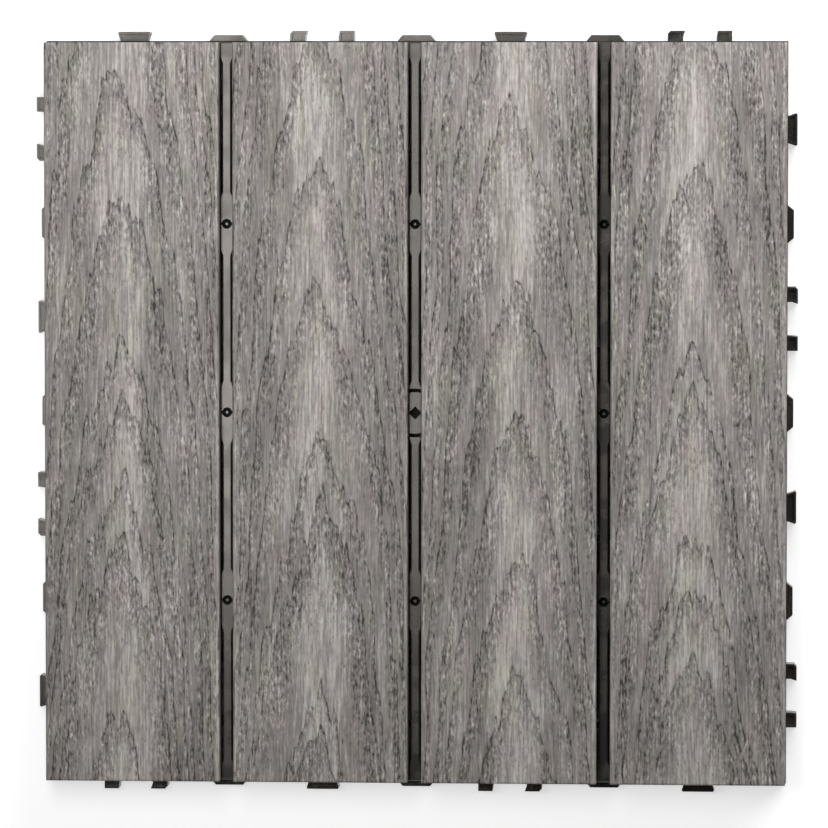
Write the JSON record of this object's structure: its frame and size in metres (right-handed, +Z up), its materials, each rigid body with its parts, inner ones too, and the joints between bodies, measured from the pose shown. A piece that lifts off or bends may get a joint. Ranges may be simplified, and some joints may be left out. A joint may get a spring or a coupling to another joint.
{
  "type": "interlocking deck tile",
  "caption": "Square outdoor floor tile: wood-look slats screwed onto a black plastic grid that hooks into the next tile on every side.",
  "frame": {"origin": "on the ground, under the middle of the tile", "axes": "+Z up through the walking face, +Y along the slats, +X across them"},
  "size_m": [0.3032, 0.3032, 0.0225],
  "materials": {
    "grid_plastic": "moulded polypropylene, satin black",
    "slat_composite": "wood-plastic composite, embossed grain, weathered grey-brown",
    "screw_steel": "stainless steel"
  },
  "bodies": {
    "root": {"base_grid": "grid_plastic", "slat_1": "slat_composite", "slat_2": "slat_composite", "slat_3": "slat_composite", "slat_4": "slat_composite", "slat_screws": "screw_steel"}
  },
  "joints": []
}
